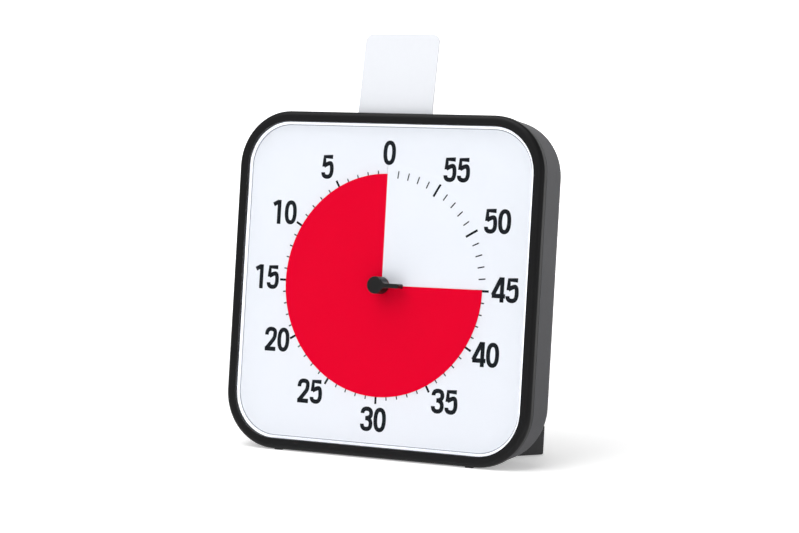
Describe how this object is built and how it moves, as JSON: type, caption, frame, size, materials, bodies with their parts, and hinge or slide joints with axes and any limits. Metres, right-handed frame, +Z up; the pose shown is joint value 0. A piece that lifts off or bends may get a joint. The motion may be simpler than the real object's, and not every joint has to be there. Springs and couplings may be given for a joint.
{
  "type": "visual countdown timer",
  "caption": "Square-faced visual countdown timer with a turning coloured disc under a clear cover, a setting knob, swing-out rear feet and a write-on card in its top slot.",
  "frame": {"origin": "middle of the footprint on the table, z = 0 at the table under the front pads and the feet", "axes": "+X to the viewer's right, +Y away from the viewer, +Z up; the case leans back about X"},
  "size_m": [0.1904, 0.0611, 0.2329],
  "materials": {
    "bezel_black": "satin",
    "shell_charcoal": "fine matte texture",
    "clear": "clear moulded plastic",
    "dial_white": "white print",
    "tray_white": "moulded",
    "film_red": "coloured film",
    "hub_white": "moulded",
    "knob_black": "satin",
    "steel": "turned",
    "gear_white": "moulded",
    "movement_grey": "moulded",
    "magnet_dark": "sintered",
    "copper": "enamelled wire",
    "board_green": "solder mask",
    "sounder_black": "moulded",
    "cell": "printed jacket",
    "nickel": "plated",
    "card_white": "write-on gloss",
    "rubber": "soft"
  },
  "bodies": {
    "case": {"front_bezel": "bezel_black", "rear_shell": "shell_charcoal", "lens": "clear", "lens_rim": "dial_white", "dial_sheet": "dial_white", "dial_tray": "tray_white", "card_pocket": "shell_charcoal", "front_pads": "rubber", "movement_base": "movement_grey", "movement_cover": "movement_grey", "motor_stator": "steel", "coil_bobbin": "movement_grey", "coil_winding": "copper", "circuit_board": "board_green", "sounder": "sounder_black", "volume_pot": "sounder_black", "contact_plate": "nickel", "contact_spring": "nickel", "foot_pin_left": "steel", "foot_pin_right": "steel", "case_screws": "steel", "movement_screws": "steel", "board_screws": "steel", "battery": "cell"},
    "dial_drive": {"knob": "knob_black", "spindle": "steel", "centre_wheel": "gear_white", "clutch_spring": "nickel"},
    "disc": {"red_disc": "film_red", "disc_hub": "hub_white"},
    "idler": {"idler_wheel": "gear_white"},
    "rotor": {"motor_rotor": "magnet_dark"},
    "volume": {"volume_knob": "knob_black"},
    "door": {"battery_door": "shell_charcoal"},
    "card": {"message_card": "card_white"},
    "foot_left": {"foot_left": "knob_black"},
    "foot_right": {"foot_right": "knob_black"}
  },
  "joints": [
    {"name": "dial_turn", "type": "hinge", "parent": "case", "child": "dial_drive", "pos_m": [0, -0.01632, 0.09487], "axis": [0, -0.9925, 0.1219], "range_deg": [-270, 90]},
    {"name": "disc_float", "type": "slide", "parent": "dial_drive", "child": "disc", "axis": [0, -0.9925, 0.1219], "range_m": [-0.0006001, 0.0002001]},
    {"name": "idler_turn", "type": "hinge", "parent": "case", "child": "idler", "pos_m": [-0.01018, -0.00516, 0.10376], "axis": [0, -0.9925, 0.1219], "range_deg": [-450, 1350]},
    {"name": "rotor_turn", "type": "hinge", "parent": "case", "child": "rotor", "pos_m": [-0.00418, -0.00389, 0.11407], "axis": [0, -0.9925, 0.1219], "range_deg": [-5400, 1800]},
    {"name": "volume_turn", "type": "hinge", "parent": "case", "child": "volume", "pos_m": [-0.058, 0.01291, 0.11143], "axis": [0, 0.9925, -0.1219], "range_deg": [-135, 135]},
    {"name": "door_off", "type": "slide", "parent": "case", "child": "door", "axis": [0, 0.9925, -0.1219], "range_m": [0, 0.03]},
    {"name": "card_lift", "type": "slide", "parent": "case", "child": "card", "axis": [0, 0.2164, 0.9763], "range_m": [0, 0.012]},
    {"name": "foot_left_swing", "type": "hinge", "parent": "case", "child": "foot_left", "pos_m": [-0.0495, 0.00012, 0.00721], "axis": [0, -0.1219, -0.9925], "range_deg": [0, 135]},
    {"name": "foot_right_swing", "type": "hinge", "parent": "case", "child": "foot_right", "pos_m": [0.0495, 0.00012, 0.00721], "axis": [0, 0.1219, 0.9925], "range_deg": [0, 135]}
  ],
  "couplings": [
    {"joint": "disc_float", "follows": "dial_turn", "m_per_rad": 0.00012732},
    {"joint": "idler_turn", "follows": "dial_turn", "ratio": -5},
    {"joint": "rotor_turn", "follows": "dial_turn", "ratio": 20}
  ]
}
